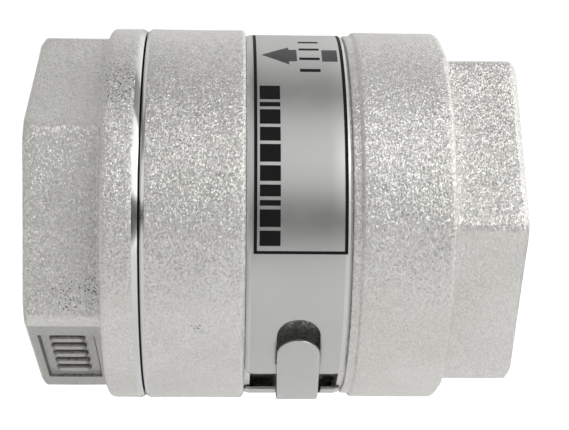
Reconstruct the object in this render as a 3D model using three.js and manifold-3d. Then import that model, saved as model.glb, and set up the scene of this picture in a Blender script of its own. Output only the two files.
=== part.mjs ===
// Two-piece screwed spring check valve, 2 inch female taper threads, investment-cast stainless steel.
// Frame: millimetres, +Z up. The flow axis is X. The origin is the centre of the inlet port's end face,
// the inlet points to +X, and the flow runs toward -X. A "station" is a distance from the inlet face
// toward the outlet, so station s lies at x = -s. Angles about the axis start at +Z and turn toward -Y.

import * as THREE from 'three';
import { mergeVertices } from 'three/addons/utils/BufferGeometryUtils.js';
import Module from 'manifold-3d';

const wasm = await Module();
wasm.setup();

// ---- driving dimensions -------------------------------------------------------------------------

const LENGTH = 105;               // inlet face to outlet face
const HEX_ACROSS_FLATS = 70;
const HEX_CORNER_ROUND = 2.5;
const HEX_CHAMFER_CIRCLE = 38.2;  // radius where the 30 degree corner chamfer meets the end face
const CLEARANCE = 0.3;            // between pieces that slide, screw or nest
const FACE_GAP = 0.05;            // between flat faces that are clamped together
const EDGE_BREAK = 0.8;           // chamfer of the smaller turned edges
const OVERRUN = 1;                // how far a cutter runs past a face, or joined solids run into each other

const PORT = { minor: 28.328, taper: 1 / 32, depth: 25.7, mouth: 31, mouthDepth: 1.7 };

const BODY = {
  hexEnd: 15.35, frontRing: 41.9, crease: 34.95, creaseDraft: 0.3, rampRise: 1.2, rampEnd: 36.9,
  grooveEnd: 58.75, grooveFloor: 40.2, rearRing: 42.4, seam: 80.42, edgeRound: 1.9, core: 33,
};
const CAP = { seam: 80.88, ringEnd: 88.95, ring: 42.4, core: 33, skirtEnd: 70.7, skirt: 38.1,
              throat: 33.2, throatLength: 2, portStep: 0.4 };
const CHAMBER = { webEnd: 30, web: 25.6, pocket: 33.1, pocketEnd: 46, flare: 3, bore: 36,
                  end: 66.5 };
const GASKET = { inner: 38.7, outer: 40.5, thickness: 1.1 };

const BAND = { start: 37.2, end: 58.5, inner: 40.5, thickness: 0.6, frontEnd: 143.7, rearEnd: 158 };
const TONGUE = { width: 9.1, centre: 47, tip: 125, root: 186, rise: 8, standOff: 1.5, slit: 0.4,
                 middle: 140, steps: 18 };
const WINDOW = { tip: 117.8, end: 138, middle: 128 };
const CLASP_POCKET = { start: 38.2, end: 57.4, floor: 39, from: 116, to: 178 };

const SEAT = { start: 31.2, face: 42, outer: 32.8, bore: 24.5, land: 27, shoulder: 29.5, relief: 0.6,
               armEnd: 36.8, hubStart: 27 };
const SEAT_GASKET = { start: 30.1, end: 31.1, inner: 26.5, outer: 32.6 };
const CIRCLIP = { start: 42.25, thickness: 2, inner: 30.6, outer: 34.6, groove: 35, sidePlay: 0.1,
                  opening: 26, lug: 2.4, lugHole: 1, lugInset: 0.6, lugAngle: 3 };

const HUB = { outer: 8.5, bush: 6.2, bushInset: 0.2 };
const ARM = { count: 3, width: 5 };
const GUIDE = { start: 66.6, end: 70.6, rimInner: 32.8, rimOuter: 37.3, cup: 19, cupInner: 17.4,
                cupFloor: 75, cupEnd: 77, postStart: 66.35 };

const STEM = { radius: 4, start: 22, end: 80.5, collar: 7, collarStart: 38, collarEnd: 39.5 };
const PLATE = { start: 39.6, end: 42, radius: 23.6, bevel: 4, bevelDepth: 1.2 };
const DISC = { bossStart: 42.1, faceStart: 44.5, end: 48.5, radius: 27.5, boss: 21.7, flat: 18.5,
               bevelDepth: 1.8 };
const STEM_O_RING = { section: 0.9, centre: 5.25, station: 43.1, recess: 6.4, recessEnd: 44.1, sides: 10 };
const SEAL = { start: 42.05, end: 44.4, inner: 21.9, outer: 27 };
const WASHER = { start: 48.6, end: 50, outer: 8.6 };
const NUT = { start: 50.1, acrossFlats: 13, cornerRound: 0.3, end: 56 };
const STEM_CLIP = { start: 77.6, thickness: 1, inner: 3.2, outer: 7, groove: 2.9, sidePlay: 0.15,
                    opening: 70 };
const SPRING_SEAT = { start: 48.6, end: 50.4, inner: 9.4, outer: 17.2, lip: 12.4, lipEnd: 51.8 };
const SPRING = { mean: 14.6, wire: 1.8, start: 50.5, end: 74.9, activeTurns: 4.5, endTurns: 1,
                 closedPitch: 1.944, endInset: 1.044, stepsPerTurn: 16 };

const ROUND = 48;                 // segments of a large turned surface
const SMALL_ROUND = 24;           // segments of a small one

const STEEL = { cast: 0xb9b8b3, turned: 0xc9c9c6, bright: 0xd6d6d4, strap: 0xbdbdbb };
const POLYMER = { ptfe: 0xf1efe8, black: 0x222222 };
const BRONZE = 0xa07a45;

// ---- geometry helpers ---------------------------------------------------------------------------

const degrees = (angle) => THREE.MathUtils.degToRad(angle);

// A closed solid for the boolean library, from a closed three.js geometry.
function solid(geometry) {
  const bare = geometry.clone();
  bare.deleteAttribute('normal');
  bare.deleteAttribute('uv');
  const merged = mergeVertices(bare, 1e-5);
  const mesh = new wasm.Mesh({
    numProp: 3,
    vertProperties: new Float32Array(merged.attributes.position.array),
    triVerts: new Uint32Array(merged.index.array),
  });
  return new wasm.Manifold(mesh);
}

function toGeometry(manifold) {
  const mesh = manifold.getMesh();
  const geometry = new THREE.BufferGeometry();
  geometry.setAttribute('position', new THREE.BufferAttribute(new Float32Array(mesh.vertProperties), 3));
  geometry.setIndex(new THREE.BufferAttribute(new Uint32Array(mesh.triVerts), 1));
  geometry.computeVertexNormals();
  return geometry;
}

// A turned solid about the flow axis, from a closed outline of [station, radius] points.
function turned(outline, segments = ROUND) {
  const points = outline.map(([station, radius]) => new THREE.Vector2(radius, station));
  const onAxis = outline[0][1] === 0 && outline[outline.length - 1][1] === 0;
  if (!onAxis) points.push(points[0].clone());
  if (THREE.ShapeUtils.area(points) < 0) points.reverse();
  const geometry = new THREE.LatheGeometry(points, segments);
  geometry.rotateZ(Math.PI / 2);
  return solid(geometry);
}

function ring(start, end, inner, outer, segments = ROUND) {
  return turned([[start, inner], [end, inner], [end, outer], [start, outer]], segments);
}

function rod(start, end, radius, segments = ROUND) {
  return turned([[start, 0], [start, radius], [end, radius], [end, 0]], segments);
}

// A prism along the flow axis. The shape is drawn as (toward -Y, toward +Z), looking along -X.
function prism(shape, start, end, curveSegments = 3) {
  const depth = end - start;
  const geometry = new THREE.ExtrudeGeometry(shape, { depth, bevelEnabled: false, curveSegments });
  geometry.applyMatrix4(new THREE.Matrix4().makeBasis(
    new THREE.Vector3(0, -1, 0), new THREE.Vector3(0, 0, 1), new THREE.Vector3(-1, 0, 0)));
  geometry.translate(-start, 0, 0);
  return solid(geometry);
}

// A hexagon with rounded corners. The first corner is at the given angle from +Z.
function hexagon(acrossFlats, cornerRound, firstCorner) {
  const shape = new THREE.Shape();
  const centreRadius = (acrossFlats / 2 - cornerRound) / Math.cos(degrees(30));
  for (let corner = 0; corner < 6; corner += 1) {
    const angle = 90 - firstCorner - 60 * corner;
    const x = centreRadius * Math.cos(degrees(angle));
    const y = centreRadius * Math.sin(degrees(angle));
    shape.absarc(x, y, cornerRound, degrees(angle + 30), degrees(angle - 30), true);
  }
  shape.closePath();
  return shape;
}

// Part of a ring between two angles, measured from +Z toward -Y.
function arcBand(inner, outer, from, to) {
  const shape = new THREE.Shape();
  shape.absarc(0, 0, outer, degrees(90 - from), degrees(90 - to), true);
  shape.absarc(0, 0, inner, degrees(90 - to), degrees(90 - from), false);
  shape.closePath();
  return shape;
}

function portRadius(depth) {
  return PORT.minor - PORT.taper * depth;
}

// The bore of one threaded port, run out past its face, with its chamfered mouth.
function portCutter(face, inward) {
  const outside = face - inward * OVERRUN;
  const mouthEnd = face + inward * PORT.mouthDepth;
  const bottom = face + inward * PORT.depth;
  return turned([
    [outside, 0], [outside, PORT.mouth], [face, PORT.mouth], [mouthEnd, portRadius(PORT.mouthDepth)],
    [bottom, portRadius(PORT.depth)], [bottom, 0],
  ]);
}

// A hexagonal end with its corners chamfered to a circle on the outer face.
function hexEnd(face, inner, firstCorner) {
  const inward = Math.sign(inner - face);
  const corner = HEX_ACROSS_FLATS / 2 / Math.cos(degrees(30));
  const chamferDepth = (corner - HEX_CHAMFER_CIRCLE) * Math.tan(degrees(30));
  const envelope = turned([
    [face, 0], [face, HEX_CHAMFER_CIRCLE], [face + inward * chamferDepth, corner], [inner, corner],
    [inner, 0],
  ]);
  const bar = prism(hexagon(HEX_ACROSS_FLATS, HEX_CORNER_ROUND, firstCorner),
                    Math.min(face, inner), Math.max(face, inner));
  return bar.intersect(envelope);
}

// ---- housing ------------------------------------------------------------------------------------

// A quarter-round edge from a flat face down to a lower radius, as [station, radius] points.
function roundedEdge(station, radius, size, toward, steps = 3) {
  const points = [];
  for (let step = 0; step <= steps; step += 1) {
    const angle = (step / steps) * Math.PI / 2;
    points.push([station + toward * size * (Math.sin(angle) - 1), radius - size * (1 - Math.cos(angle))]);
  }
  return points;
}

function bodyShell() {
  const edge = BODY.rearRing - BODY.edgeRound;
  const barrel = turned([
    [BODY.hexEnd - OVERRUN, 0], [BODY.hexEnd - OVERRUN, BODY.core], [BODY.hexEnd, BODY.core],
    [BODY.hexEnd, BODY.frontRing - EDGE_BREAK], [BODY.hexEnd + EDGE_BREAK, BODY.frontRing],
    [BODY.crease, BODY.frontRing], [BODY.crease + BODY.creaseDraft, BODY.grooveFloor + BODY.rampRise],
    [BODY.rampEnd, BODY.grooveFloor],
    [BODY.grooveEnd, BODY.grooveFloor], [BODY.grooveEnd, edge],
    ...roundedEdge(BODY.grooveEnd, BODY.rearRing, BODY.edgeRound, -1).reverse(),
    [BODY.seam, BODY.rearRing], [BODY.seam, 0],
  ]);
  return barrel.add(hexEnd(0, BODY.hexEnd, 30));
}

// Everything bored from the outlet side: gasket recess, cap thread, chamber, seat pocket, clip groove.
function bodyBore() {
  const gasketSeat = CAP.seam - FACE_GAP - GASKET.thickness - FACE_GAP;
  const start = PORT.depth - OVERRUN;
  const grooveStart = CIRCLIP.start - CIRCLIP.sidePlay;
  const grooveEnd = CIRCLIP.start + CIRCLIP.thickness + CIRCLIP.sidePlay;
  const outside = BODY.seam + OVERRUN;
  return turned([
    [start, 0], [start, CHAMBER.web], [CHAMBER.webEnd, CHAMBER.web], [CHAMBER.webEnd, CHAMBER.pocket],
    [grooveStart, CHAMBER.pocket], [grooveStart, CIRCLIP.groove], [grooveEnd, CIRCLIP.groove],
    [grooveEnd, CHAMBER.pocket], [CHAMBER.pocketEnd, CHAMBER.pocket],
    [CHAMBER.pocketEnd + CHAMBER.flare, CHAMBER.bore], [CHAMBER.end, CHAMBER.bore],
    [CHAMBER.end, CAP.skirt + CLEARANCE], [gasketSeat, CAP.skirt + CLEARANCE],
    [gasketSeat, GASKET.outer + CLEARANCE], [outside, GASKET.outer + CLEARANCE], [outside, 0],
  ]);
}

function claspPocket() {
  const shape = arcBand(CLASP_POCKET.floor, BODY.rearRing, CLASP_POCKET.from, CLASP_POCKET.to);
  return prism(shape, CLASP_POCKET.start, CLASP_POCKET.end, 6);
}

function body() {
  return bodyShell().subtract(portCutter(0, 1)).subtract(bodyBore()).subtract(claspPocket());
}

function endCap() {
  const ringAndSkirt = turned([
    [CAP.skirtEnd, 0], [CAP.skirtEnd, CAP.skirt - EDGE_BREAK], [CAP.skirtEnd + EDGE_BREAK, CAP.skirt],
    [CAP.seam, CAP.skirt], [CAP.seam, CAP.ring - EDGE_BREAK], [CAP.seam + EDGE_BREAK, CAP.ring],
    [CAP.ringEnd - EDGE_BREAK, CAP.ring], [CAP.ringEnd, CAP.ring - EDGE_BREAK], [CAP.ringEnd, CAP.core],
    [CAP.ringEnd + OVERRUN, CAP.core], [CAP.ringEnd + OVERRUN, 0],
  ]);
  const portEnd = LENGTH - PORT.depth;
  const throatEnd = portRadius(PORT.depth) - CAP.portStep;
  const throat = turned([
    [CAP.skirtEnd - OVERRUN, 0], [CAP.skirtEnd - OVERRUN, CAP.throat],
    [CAP.skirtEnd + CAP.throatLength, CAP.throat], [portEnd, throatEnd], [portEnd + OVERRUN, throatEnd],
    [portEnd + OVERRUN, 0],
  ]);
  return ringAndSkirt.add(hexEnd(LENGTH, CAP.ringEnd, 0)).subtract(portCutter(LENGTH, -1)).subtract(throat);
}

function bodyGasket() {
  const end = CAP.seam - FACE_GAP;
  return ring(end - GASKET.thickness, end, GASKET.inner, GASKET.outer);
}

// ---- nameplate strap ----------------------------------------------------------------------------

// The rising root and the curved blade of the tongue, seen along the axis.
function tongueProfile() {
  const outer = BAND.inner + BAND.thickness;
  const shape = new THREE.Shape();
  const flatRoot = 1;
  const edge = (lower) => {
    const points = [];
    for (let step = 0; step <= TONGUE.steps; step += 1) {
      const angle = THREE.MathUtils.lerp(TONGUE.root, TONGUE.tip, step / TONGUE.steps);
      const climb = THREE.MathUtils.smoothstep(TONGUE.root - angle, flatRoot, flatRoot + TONGUE.rise);
      const rise = climb * TONGUE.standOff;
      const radius = outer + rise - (lower ? BAND.thickness : 0);
      points.push(new THREE.Vector2(radius * Math.sin(degrees(angle)), radius * Math.cos(degrees(angle))));
    }
    return points;
  };
  const far = edge(false);
  const near = edge(true).reverse();
  shape.setFromPoints([...far, ...near]);
  return shape;
}

// A strip of the tongue's width with a half-round end, as a block that stands on the axis and looks out at
// the middle angle. The round end lies at the tip angle on a cylinder of the given radius.
function roundEndedStrip(tipAngle, endAngle, middleAngle, radius) {
  const half = TONGUE.width / 2;
  const tip = radius * Math.sin(degrees(middleAngle - tipAngle));
  const end = radius * Math.sin(degrees(middleAngle - endAngle));
  const shape = new THREE.Shape();
  shape.moveTo(-half, end);
  shape.lineTo(half, end);
  shape.lineTo(half, tip - half);
  shape.absarc(0, tip - half, half, 0, Math.PI, false);
  shape.closePath();
  const geometry = new THREE.ExtrudeGeometry(shape, {
    depth: radius + OVERRUN, bevelEnabled: false, curveSegments: 10,
  });
  const middle = degrees(middleAngle);
  const radial = new THREE.Vector3(0, -Math.sin(middle), Math.cos(middle));
  const along = new THREE.Vector3(1, 0, 0);
  const up = new THREE.Vector3().crossVectors(radial, along);
  geometry.applyMatrix4(new THREE.Matrix4().makeBasis(along, up, radial));
  geometry.translate(-TONGUE.centre, 0, 0);
  return solid(geometry);
}

function nameplateBand() {
  const outer = BAND.inner + BAND.thickness;
  const strip = arcBand(BAND.inner, outer, BAND.rearEnd - 360, BAND.frontEnd);
  const strap = prism(strip, BAND.start, BAND.end, 32);
  const start = TONGUE.centre - TONGUE.width / 2;
  const end = TONGUE.centre + TONGUE.width / 2;
  const gap = arcBand(BAND.inner - OVERRUN, outer + OVERRUN, BAND.rearEnd - 2, TONGUE.root - TONGUE.slit);
  const slits = prism(gap, start - TONGUE.slit, end + TONGUE.slit, 6);
  const tipWindow = roundEndedStrip(WINDOW.tip, WINDOW.end, WINDOW.middle, outer);
  const outline = roundEndedStrip(TONGUE.tip, TONGUE.middle + 90, TONGUE.middle, outer + TONGUE.standOff);
  const tongue = prism(tongueProfile(), start, end).intersect(outline);
  return strap.subtract(slits).subtract(tipWindow).add(tongue);
}

// ---- seat and guides ----------------------------------------------------------------------------

// Radial arms of a guide spider, the first one at the given angle from +Z.
function spiderArms(inner, outer, start, end, firstArm) {
  let arms = null;
  for (let index = 0; index < ARM.count; index += 1) {
    const angle = degrees(90 - firstArm - (360 / ARM.count) * index);
    const radial = new THREE.Vector2(Math.cos(angle), Math.sin(angle));
    const side = new THREE.Vector2(-radial.y, radial.x).multiplyScalar(ARM.width / 2);
    const near = radial.clone().multiplyScalar(inner);
    const far = radial.clone().multiplyScalar(outer);
    const shape = new THREE.Shape([
      near.clone().sub(side), far.clone().sub(side), far.clone().add(side), near.clone().add(side),
    ]);
    const arm = prism(shape, start, end);
    arms = arms ? arms.add(arm) : arm;
  }
  return arms;
}

function seatRing() {
  const floor = SEAT.face - SEAT.relief;
  const shell = ring(SEAT.start, floor, SEAT.bore, SEAT.outer);
  const lip = ring(floor - SEAT.relief, SEAT.face, SEAT.bore, SEAT.land);
  const shoulder = ring(floor - SEAT.relief, SEAT.face, SEAT.shoulder, SEAT.outer);
  const hub = rod(SEAT.hubStart, SEAT.armEnd, HUB.outer, SMALL_ROUND);
  const arms = spiderArms(HUB.outer - OVERRUN, SEAT.bore + OVERRUN, SEAT.start, SEAT.armEnd, 0);
  const bore = rod(SEAT.hubStart - OVERRUN, SEAT.armEnd + OVERRUN, HUB.bush + CLEARANCE / 2, SMALL_ROUND);
  return shell.add(lip).add(shoulder).add(hub).add(arms).subtract(bore);
}

function seatGasket() {
  return ring(SEAT_GASKET.start, SEAT_GASKET.end, SEAT_GASKET.inner, SEAT_GASKET.outer);
}

// A spring-steel ring with an opening and two plier lugs.
function seatCirclip() {
  const end = CIRCLIP.start + CIRCLIP.thickness;
  const half = CIRCLIP.opening / 2;
  let clip = prism(arcBand(CIRCLIP.inner, CIRCLIP.outer, 180 + half, 540 - half), CIRCLIP.start, end, 24);
  const radius = CIRCLIP.inner - CIRCLIP.lugInset;
  for (const side of [-1, 1]) {
    const angle = degrees(90 - (180 + side * (half + CIRCLIP.lugAngle)));
    const disc = (size) => new THREE.Shape().absarc(
      radius * Math.cos(angle), radius * Math.sin(angle), size, 0, 2 * Math.PI, false);
    const hole = prism(disc(CIRCLIP.lugHole), CIRCLIP.start - OVERRUN, end + OVERRUN);
    clip = clip.add(prism(disc(CIRCLIP.lug), CIRCLIP.start, end)).subtract(hole);
  }
  return clip;
}

// The bearing of a hub, a little short of the hub at both ends.
function bush(hubStart, hubEnd) {
  return ring(hubStart + HUB.bushInset, hubEnd - HUB.bushInset, STEM.radius + CLEARANCE,
              HUB.bush - CLEARANCE / 2, SMALL_ROUND);
}

function outletGuide() {
  const rim = ring(GUIDE.start, GUIDE.end, GUIDE.rimInner, GUIDE.rimOuter);
  const arms = spiderArms(GUIDE.cup - OVERRUN, GUIDE.rimInner + OVERRUN, GUIDE.start, GUIDE.end, 0);
  const cup = rod(GUIDE.start, GUIDE.cupEnd, GUIDE.cup);
  const pocket = rod(GUIDE.start - OVERRUN, GUIDE.cupFloor, GUIDE.cupInner);
  const post = rod(GUIDE.postStart, GUIDE.cupEnd, HUB.outer, SMALL_ROUND);
  const bore = rod(GUIDE.postStart - OVERRUN, GUIDE.cupEnd + OVERRUN, HUB.bush + CLEARANCE / 2, SMALL_ROUND);
  return cup.subtract(pocket).add(arms).add(rim).add(post).subtract(bore);
}

// ---- poppet -------------------------------------------------------------------------------------

function stem() {
  const groove = STEM_CLIP.start - STEM_CLIP.sidePlay;
  const grooveEnd = STEM_CLIP.start + STEM_CLIP.thickness + STEM_CLIP.sidePlay;
  return turned([
    [STEM.start, 0], [STEM.start, STEM.radius - EDGE_BREAK], [STEM.start + EDGE_BREAK, STEM.radius],
    [STEM.collarStart, STEM.radius], [STEM.collarStart, STEM.collar], [STEM.collarEnd, STEM.collar],
    [STEM.collarEnd, STEM.radius], [groove, STEM.radius], [groove, STEM_CLIP.groove],
    [grooveEnd, STEM_CLIP.groove], [grooveEnd, STEM.radius], [STEM.end - EDGE_BREAK, STEM.radius],
    [STEM.end, STEM.radius - EDGE_BREAK], [STEM.end, 0],
  ], SMALL_ROUND);
}

function sealRetainer() {
  const inner = STEM.radius + CLEARANCE;
  return turned([
    [PLATE.start, inner], [PLATE.end, inner], [PLATE.end, PLATE.radius],
    [PLATE.start + PLATE.bevelDepth, PLATE.radius], [PLATE.start, PLATE.radius - PLATE.bevel],
  ]);
}

function valveDisc() {
  const inner = STEM.radius + CLEARANCE;
  return turned([
    [DISC.bossStart, STEM_O_RING.recess], [STEM_O_RING.recessEnd, STEM_O_RING.recess],
    [STEM_O_RING.recessEnd, inner], [DISC.end, inner], [DISC.end, DISC.flat],
    [DISC.end - DISC.bevelDepth, DISC.radius], [DISC.faceStart, DISC.radius],
    [DISC.faceStart, DISC.boss], [DISC.bossStart, DISC.boss],
  ]);
}

function discSeal() {
  return ring(SEAL.start, SEAL.end, SEAL.inner, SEAL.outer);
}

// Seals the clearance between stem and disc.
function stemORing() {
  const outline = [];
  for (let side = 0; side < STEM_O_RING.sides; side += 1) {
    const angle = (side / STEM_O_RING.sides) * 2 * Math.PI;
    outline.push([STEM_O_RING.station + STEM_O_RING.section * Math.cos(angle),
                  STEM_O_RING.centre + STEM_O_RING.section * Math.sin(angle)]);
  }
  return turned(outline, SMALL_ROUND);
}

function lockWasher() {
  return ring(WASHER.start, WASHER.end, STEM.radius + CLEARANCE, WASHER.outer, SMALL_ROUND);
}

function stemNut() {
  const bar = prism(hexagon(NUT.acrossFlats, NUT.cornerRound, 0), NUT.start, NUT.end, 2);
  return bar.subtract(rod(NUT.start - OVERRUN, NUT.end + OVERRUN, STEM.radius + CLEARANCE, SMALL_ROUND));
}

// An open retaining clip in the stem's end groove.
function stemClip() {
  const half = STEM_CLIP.opening / 2;
  return prism(arcBand(STEM_CLIP.inner, STEM_CLIP.outer, 180 + half, 540 - half),
               STEM_CLIP.start, STEM_CLIP.start + STEM_CLIP.thickness, 12);
}

// ---- spring -------------------------------------------------------------------------------------

function springSeat() {
  return turned([
    [SPRING_SEAT.start, SPRING_SEAT.inner], [SPRING_SEAT.lipEnd, SPRING_SEAT.inner],
    [SPRING_SEAT.lipEnd, SPRING_SEAT.lip], [SPRING_SEAT.end, SPRING_SEAT.lip],
    [SPRING_SEAT.end, SPRING_SEAT.outer], [SPRING_SEAT.start, SPRING_SEAT.outer],
  ]);
}

// The centre line of a compression spring with one closed turn at each end.
class SpringLine extends THREE.Curve {
  getPoint(t, target = new THREE.Vector3()) {
    const turns = SPRING.activeTurns + 2 * SPRING.endTurns;
    const turn = t * turns;
    const first = SPRING.start + SPRING.endInset;
    const last = SPRING.end - SPRING.endInset;
    const open = last - first - 2 * SPRING.closedPitch * SPRING.endTurns;
    let station = first + SPRING.closedPitch * Math.min(turn, SPRING.endTurns);
    station += open * THREE.MathUtils.clamp((turn - SPRING.endTurns) / SPRING.activeTurns, 0, 1);
    station += SPRING.closedPitch * Math.max(0, turn - SPRING.endTurns - SPRING.activeTurns);
    const angle = 2 * Math.PI * turn;
    return target.set(-station, -SPRING.mean * Math.sin(angle), SPRING.mean * Math.cos(angle));
  }
}

function spring() {
  const section = new THREE.Shape();
  section.absarc(0, 0, SPRING.wire / 2, 0, 2 * Math.PI, false);
  const steps = Math.round(SPRING.stepsPerTurn * (SPRING.activeTurns + 2 * SPRING.endTurns));
  const geometry = new THREE.ExtrudeGeometry(section, {
    steps, extrudePath: new SpringLine(), curveSegments: 4, bevelEnabled: false,
  });
  return solid(geometry);
}

// ---- the assembly -------------------------------------------------------------------------------

const valve = new THREE.Group();

function addPart(name, manifold, color, roughness, metalness) {
  const material = new THREE.MeshStandardMaterial({ color, roughness, metalness });
  const mesh = new THREE.Mesh(toGeometry(manifold), material);
  mesh.name = name;
  valve.add(mesh);
}

addPart('body', body(), STEEL.cast, 0.5, 1);
addPart('end_cap', endCap(), STEEL.cast, 0.5, 1);
addPart('body_gasket', bodyGasket(), POLYMER.black, 0.6, 0);
addPart('nameplate_band', nameplateBand(), STEEL.strap, 0.35, 1);
addPart('seat_gasket', seatGasket(), POLYMER.ptfe, 0.5, 0);
addPart('seat_ring', seatRing(), STEEL.turned, 0.3, 1);
addPart('seat_circlip', seatCirclip(), STEEL.bright, 0.3, 1);
addPart('inlet_bush', bush(SEAT.hubStart, SEAT.armEnd), BRONZE, 0.4, 1);
addPart('outlet_guide', outletGuide(), STEEL.cast, 0.4, 1);
addPart('outlet_bush', bush(GUIDE.postStart, GUIDE.cupEnd), BRONZE, 0.4, 1);
addPart('spring', spring(), STEEL.bright, 0.25, 1);
addPart('spring_seat', springSeat(), STEEL.turned, 0.3, 1);
addPart('valve_disc', valveDisc(), STEEL.turned, 0.3, 1);
addPart('disc_seal', discSeal(), POLYMER.ptfe, 0.5, 0);
addPart('seal_retainer', sealRetainer(), STEEL.turned, 0.3, 1);
addPart('stem', stem(), STEEL.bright, 0.2, 1);
addPart('stem_o_ring', stemORing(), POLYMER.black, 0.6, 0);
addPart('lock_washer', lockWasher(), STEEL.bright, 0.3, 1);
addPart('stem_nut', stemNut(), STEEL.bright, 0.3, 1);
addPart('stem_clip', stemClip(), STEEL.bright, 0.3, 1);

export default valve;
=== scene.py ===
"""Looks of a two-piece screwed spring check valve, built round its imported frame.

A station is a distance from the inlet face toward the outlet, along -X. Angles about the flow axis start at
+Z and turn toward -Y, the side with the nameplate. Sizes are in millimetres, and every mesh is in metres.
"""
from math import atan, atan2, cos, degrees, pi, radians, sin, tan

import bmesh
import bpy
import numpy as np
from mathutils import Matrix, Vector, noise


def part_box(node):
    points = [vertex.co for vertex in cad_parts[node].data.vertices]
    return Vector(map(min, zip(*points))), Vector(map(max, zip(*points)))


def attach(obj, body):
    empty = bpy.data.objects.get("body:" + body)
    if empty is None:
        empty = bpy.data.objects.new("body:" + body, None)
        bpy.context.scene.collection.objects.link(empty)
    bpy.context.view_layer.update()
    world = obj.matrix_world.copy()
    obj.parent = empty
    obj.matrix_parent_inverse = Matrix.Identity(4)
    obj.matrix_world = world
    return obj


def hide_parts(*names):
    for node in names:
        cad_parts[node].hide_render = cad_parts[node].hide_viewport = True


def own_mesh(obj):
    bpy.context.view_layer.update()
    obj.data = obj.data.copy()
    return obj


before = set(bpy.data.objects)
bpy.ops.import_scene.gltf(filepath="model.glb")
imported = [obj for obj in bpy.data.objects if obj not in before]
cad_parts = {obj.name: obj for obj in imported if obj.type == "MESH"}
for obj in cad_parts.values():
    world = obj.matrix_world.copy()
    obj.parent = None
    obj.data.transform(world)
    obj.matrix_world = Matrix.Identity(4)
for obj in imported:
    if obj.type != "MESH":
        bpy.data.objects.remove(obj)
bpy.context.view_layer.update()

MM = 0.001

# ---- sizes ----


def stations(node):
    """First and last station of a CAD node."""
    low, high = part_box(node)
    return -high.x / MM, -low.x / MM


def reach(node):
    """Largest radius of a CAD node of revolution."""
    low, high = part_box(node)
    return max(high.z, -low.z) / MM


LENGTH = stations("end_cap")[1]
BODY_SEAM = stations("body")[1]
SKIRT_END = stations("end_cap")[0]
CAP_SEAM = stations("body_gasket")[1] + 0.05

HEX_FLAT = 35.0                 # centre to flat
HEX_ROUND = 2.5                 # rounding of the edges between flats
BODY_HEX_END, CAP_HEX_END = 15.35, 88.95
HEX_CHAMFER_CIRCLE = 38.2
INLET_EDGE, OUTLET_EDGE = 1.2, 0.8
FRONT_RING = 41.9
CREASE, RAMP_END, GROOVE_END, GROOVE_FLOOR = 34.95, 36.9, 58.75, 40.2
SEAM_EDGE = 41.65               # radius of the machined edges at the seam

PITCH = 2.309
THREAD_HEIGHT = 1.479
PORT_ROOT = 29.807              # root radius of the port thread at the face
PORT_DEPTH = 25.7
PORT_TAPER = 1 / 32
MOUTH, MOUTH_DEPTH = 31.0, 1.7

CHAMBER, CHAMBER_START, CHAMBER_END = 36.0, 49.0, 66.5
CLIP_GROOVE, CLIP_GROOVE_START, CLIP_GROOVE_END = 35.0, 42.15, 44.35
POCKET, POCKET_START, POCKET_END = 33.1, 30.0, 46.0
WEB = 25.6
JOINT_BORE, SKIRT = 38.4, 38.1
THROAT, THROAT_END = 33.2, 27.125

STRAP_START, STRAP_END = stations("nameplate_band")
STRAP_END += 0.2                # the bent edge reaches a little past the flat strip of the frame
STRAP_INNER, STRAP_SHEET = 40.5, 0.6
STRAP_OUTER = STRAP_INNER + STRAP_SHEET

POCKET_FLOOR = 38.2             # of the recess in the groove under the strap's closure
POCKET_SPAN = (116.0, 178.0)

# The marking panel on one flat of the outlet's hexagon: its flat's angle, then millimetres.
PANEL = {"middle": 150, "low": -11.6, "high": 14.1, "start": 90.75, "end": 102.85, "depth": 0.9,
         "wall": 0.45}
SHADED_FROM = -16.3             # across that flat, where its bright front strip gives way to painted shade

# ---- materials ----


class Nodes:
    """A node tree, with short calls for the nodes used here."""

    def __init__(self, tree):
        self.tree = tree

    def link(self, source, target):
        self.tree.links.new(source, target)

    def put(self, socket, value):
        """Links an output to a socket, or sets a value there. None leaves it as it is."""
        if isinstance(value, bpy.types.NodeSocket):
            self.link(value, socket)
        elif value is not None:
            socket.default_value = (*value, 1) if socket.type == "RGBA" else value

    def node(self, kind, inputs=(), **settings):
        """A new node with its settings, and its inputs by name or by their place in the list."""
        made = self.tree.nodes.new(kind)
        for key, value in settings.items():
            setattr(made, key, value)
        for key, value in dict(inputs).items():
            self.put(made.inputs[key], value)
        return made

    def math(self, operation, *values):
        return self.node("ShaderNodeMath", enumerate(values), operation=operation).outputs[0]

    def vector(self, operation, *values):
        return self.node("ShaderNodeVectorMath", enumerate(values), operation=operation)


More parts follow.
